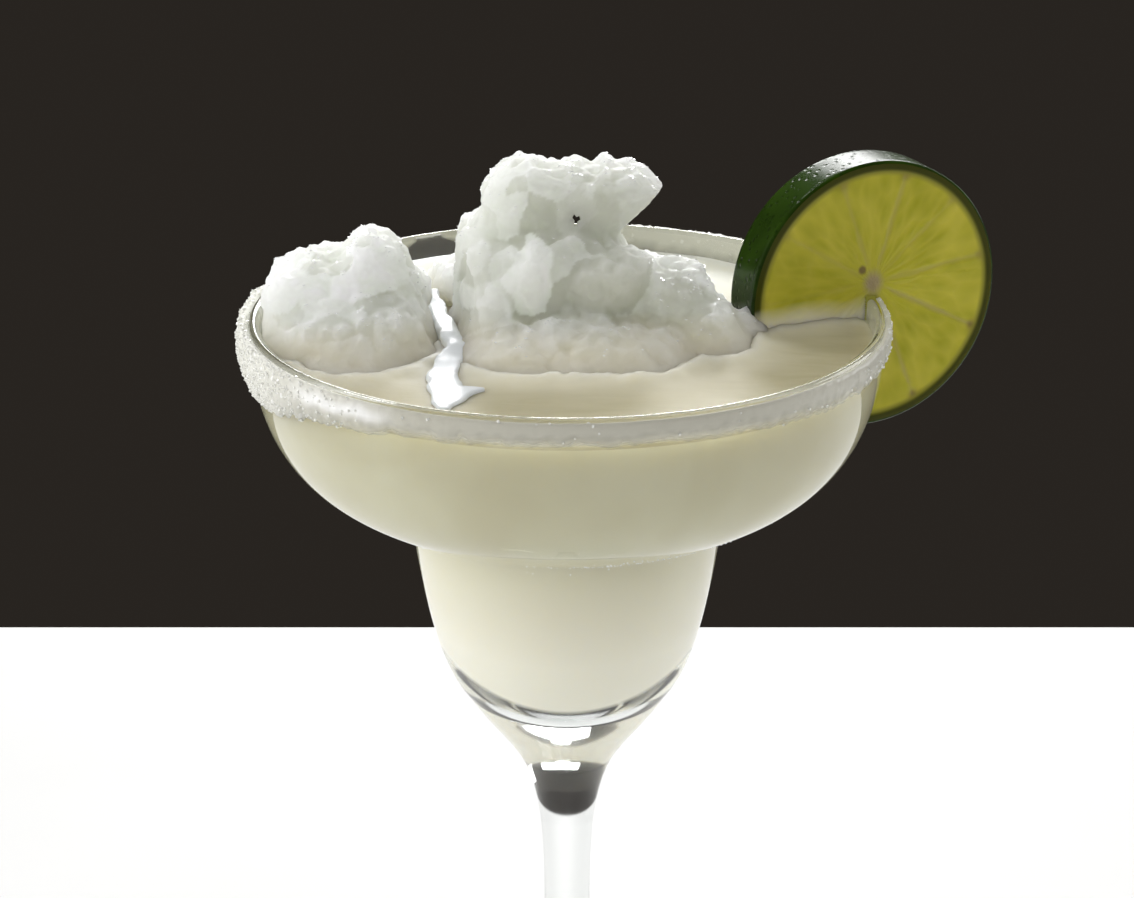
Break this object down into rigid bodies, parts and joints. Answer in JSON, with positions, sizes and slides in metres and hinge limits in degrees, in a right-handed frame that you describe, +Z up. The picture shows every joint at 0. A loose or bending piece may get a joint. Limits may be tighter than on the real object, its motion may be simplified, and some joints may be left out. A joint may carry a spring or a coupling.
{
  "type": "frozen margarita",
  "caption": "Stepped stem glass filled with a pale frozen drink, with a heap of wet ice standing above the rim, a salt crust round the rim and a lime wheel pushed onto it.",
  "frame": {"origin": "centre of the foot's underside", "axes": "+Z up along the glass's axis; the pictured side faces -Y, with the lime wheel on the +X side"},
  "size_m": [0.1348, 0.1143, 0.2008],
  "materials": {
    "glass": "clear, polished",
    "drink": "cloudy pale cream, wet",
    "ice": "frosty white, translucent, wet",
    "salt": "white grains, sparkling",
    "lime": "wet yellow-green flesh in a dark green rind"
  },
  "bodies": {
    "root": {"glass": "glass", "drink": "drink", "ice_heap": "ice", "salt_rim": "salt", "lime_wheel": "lime"}
  },
  "joints": []
}
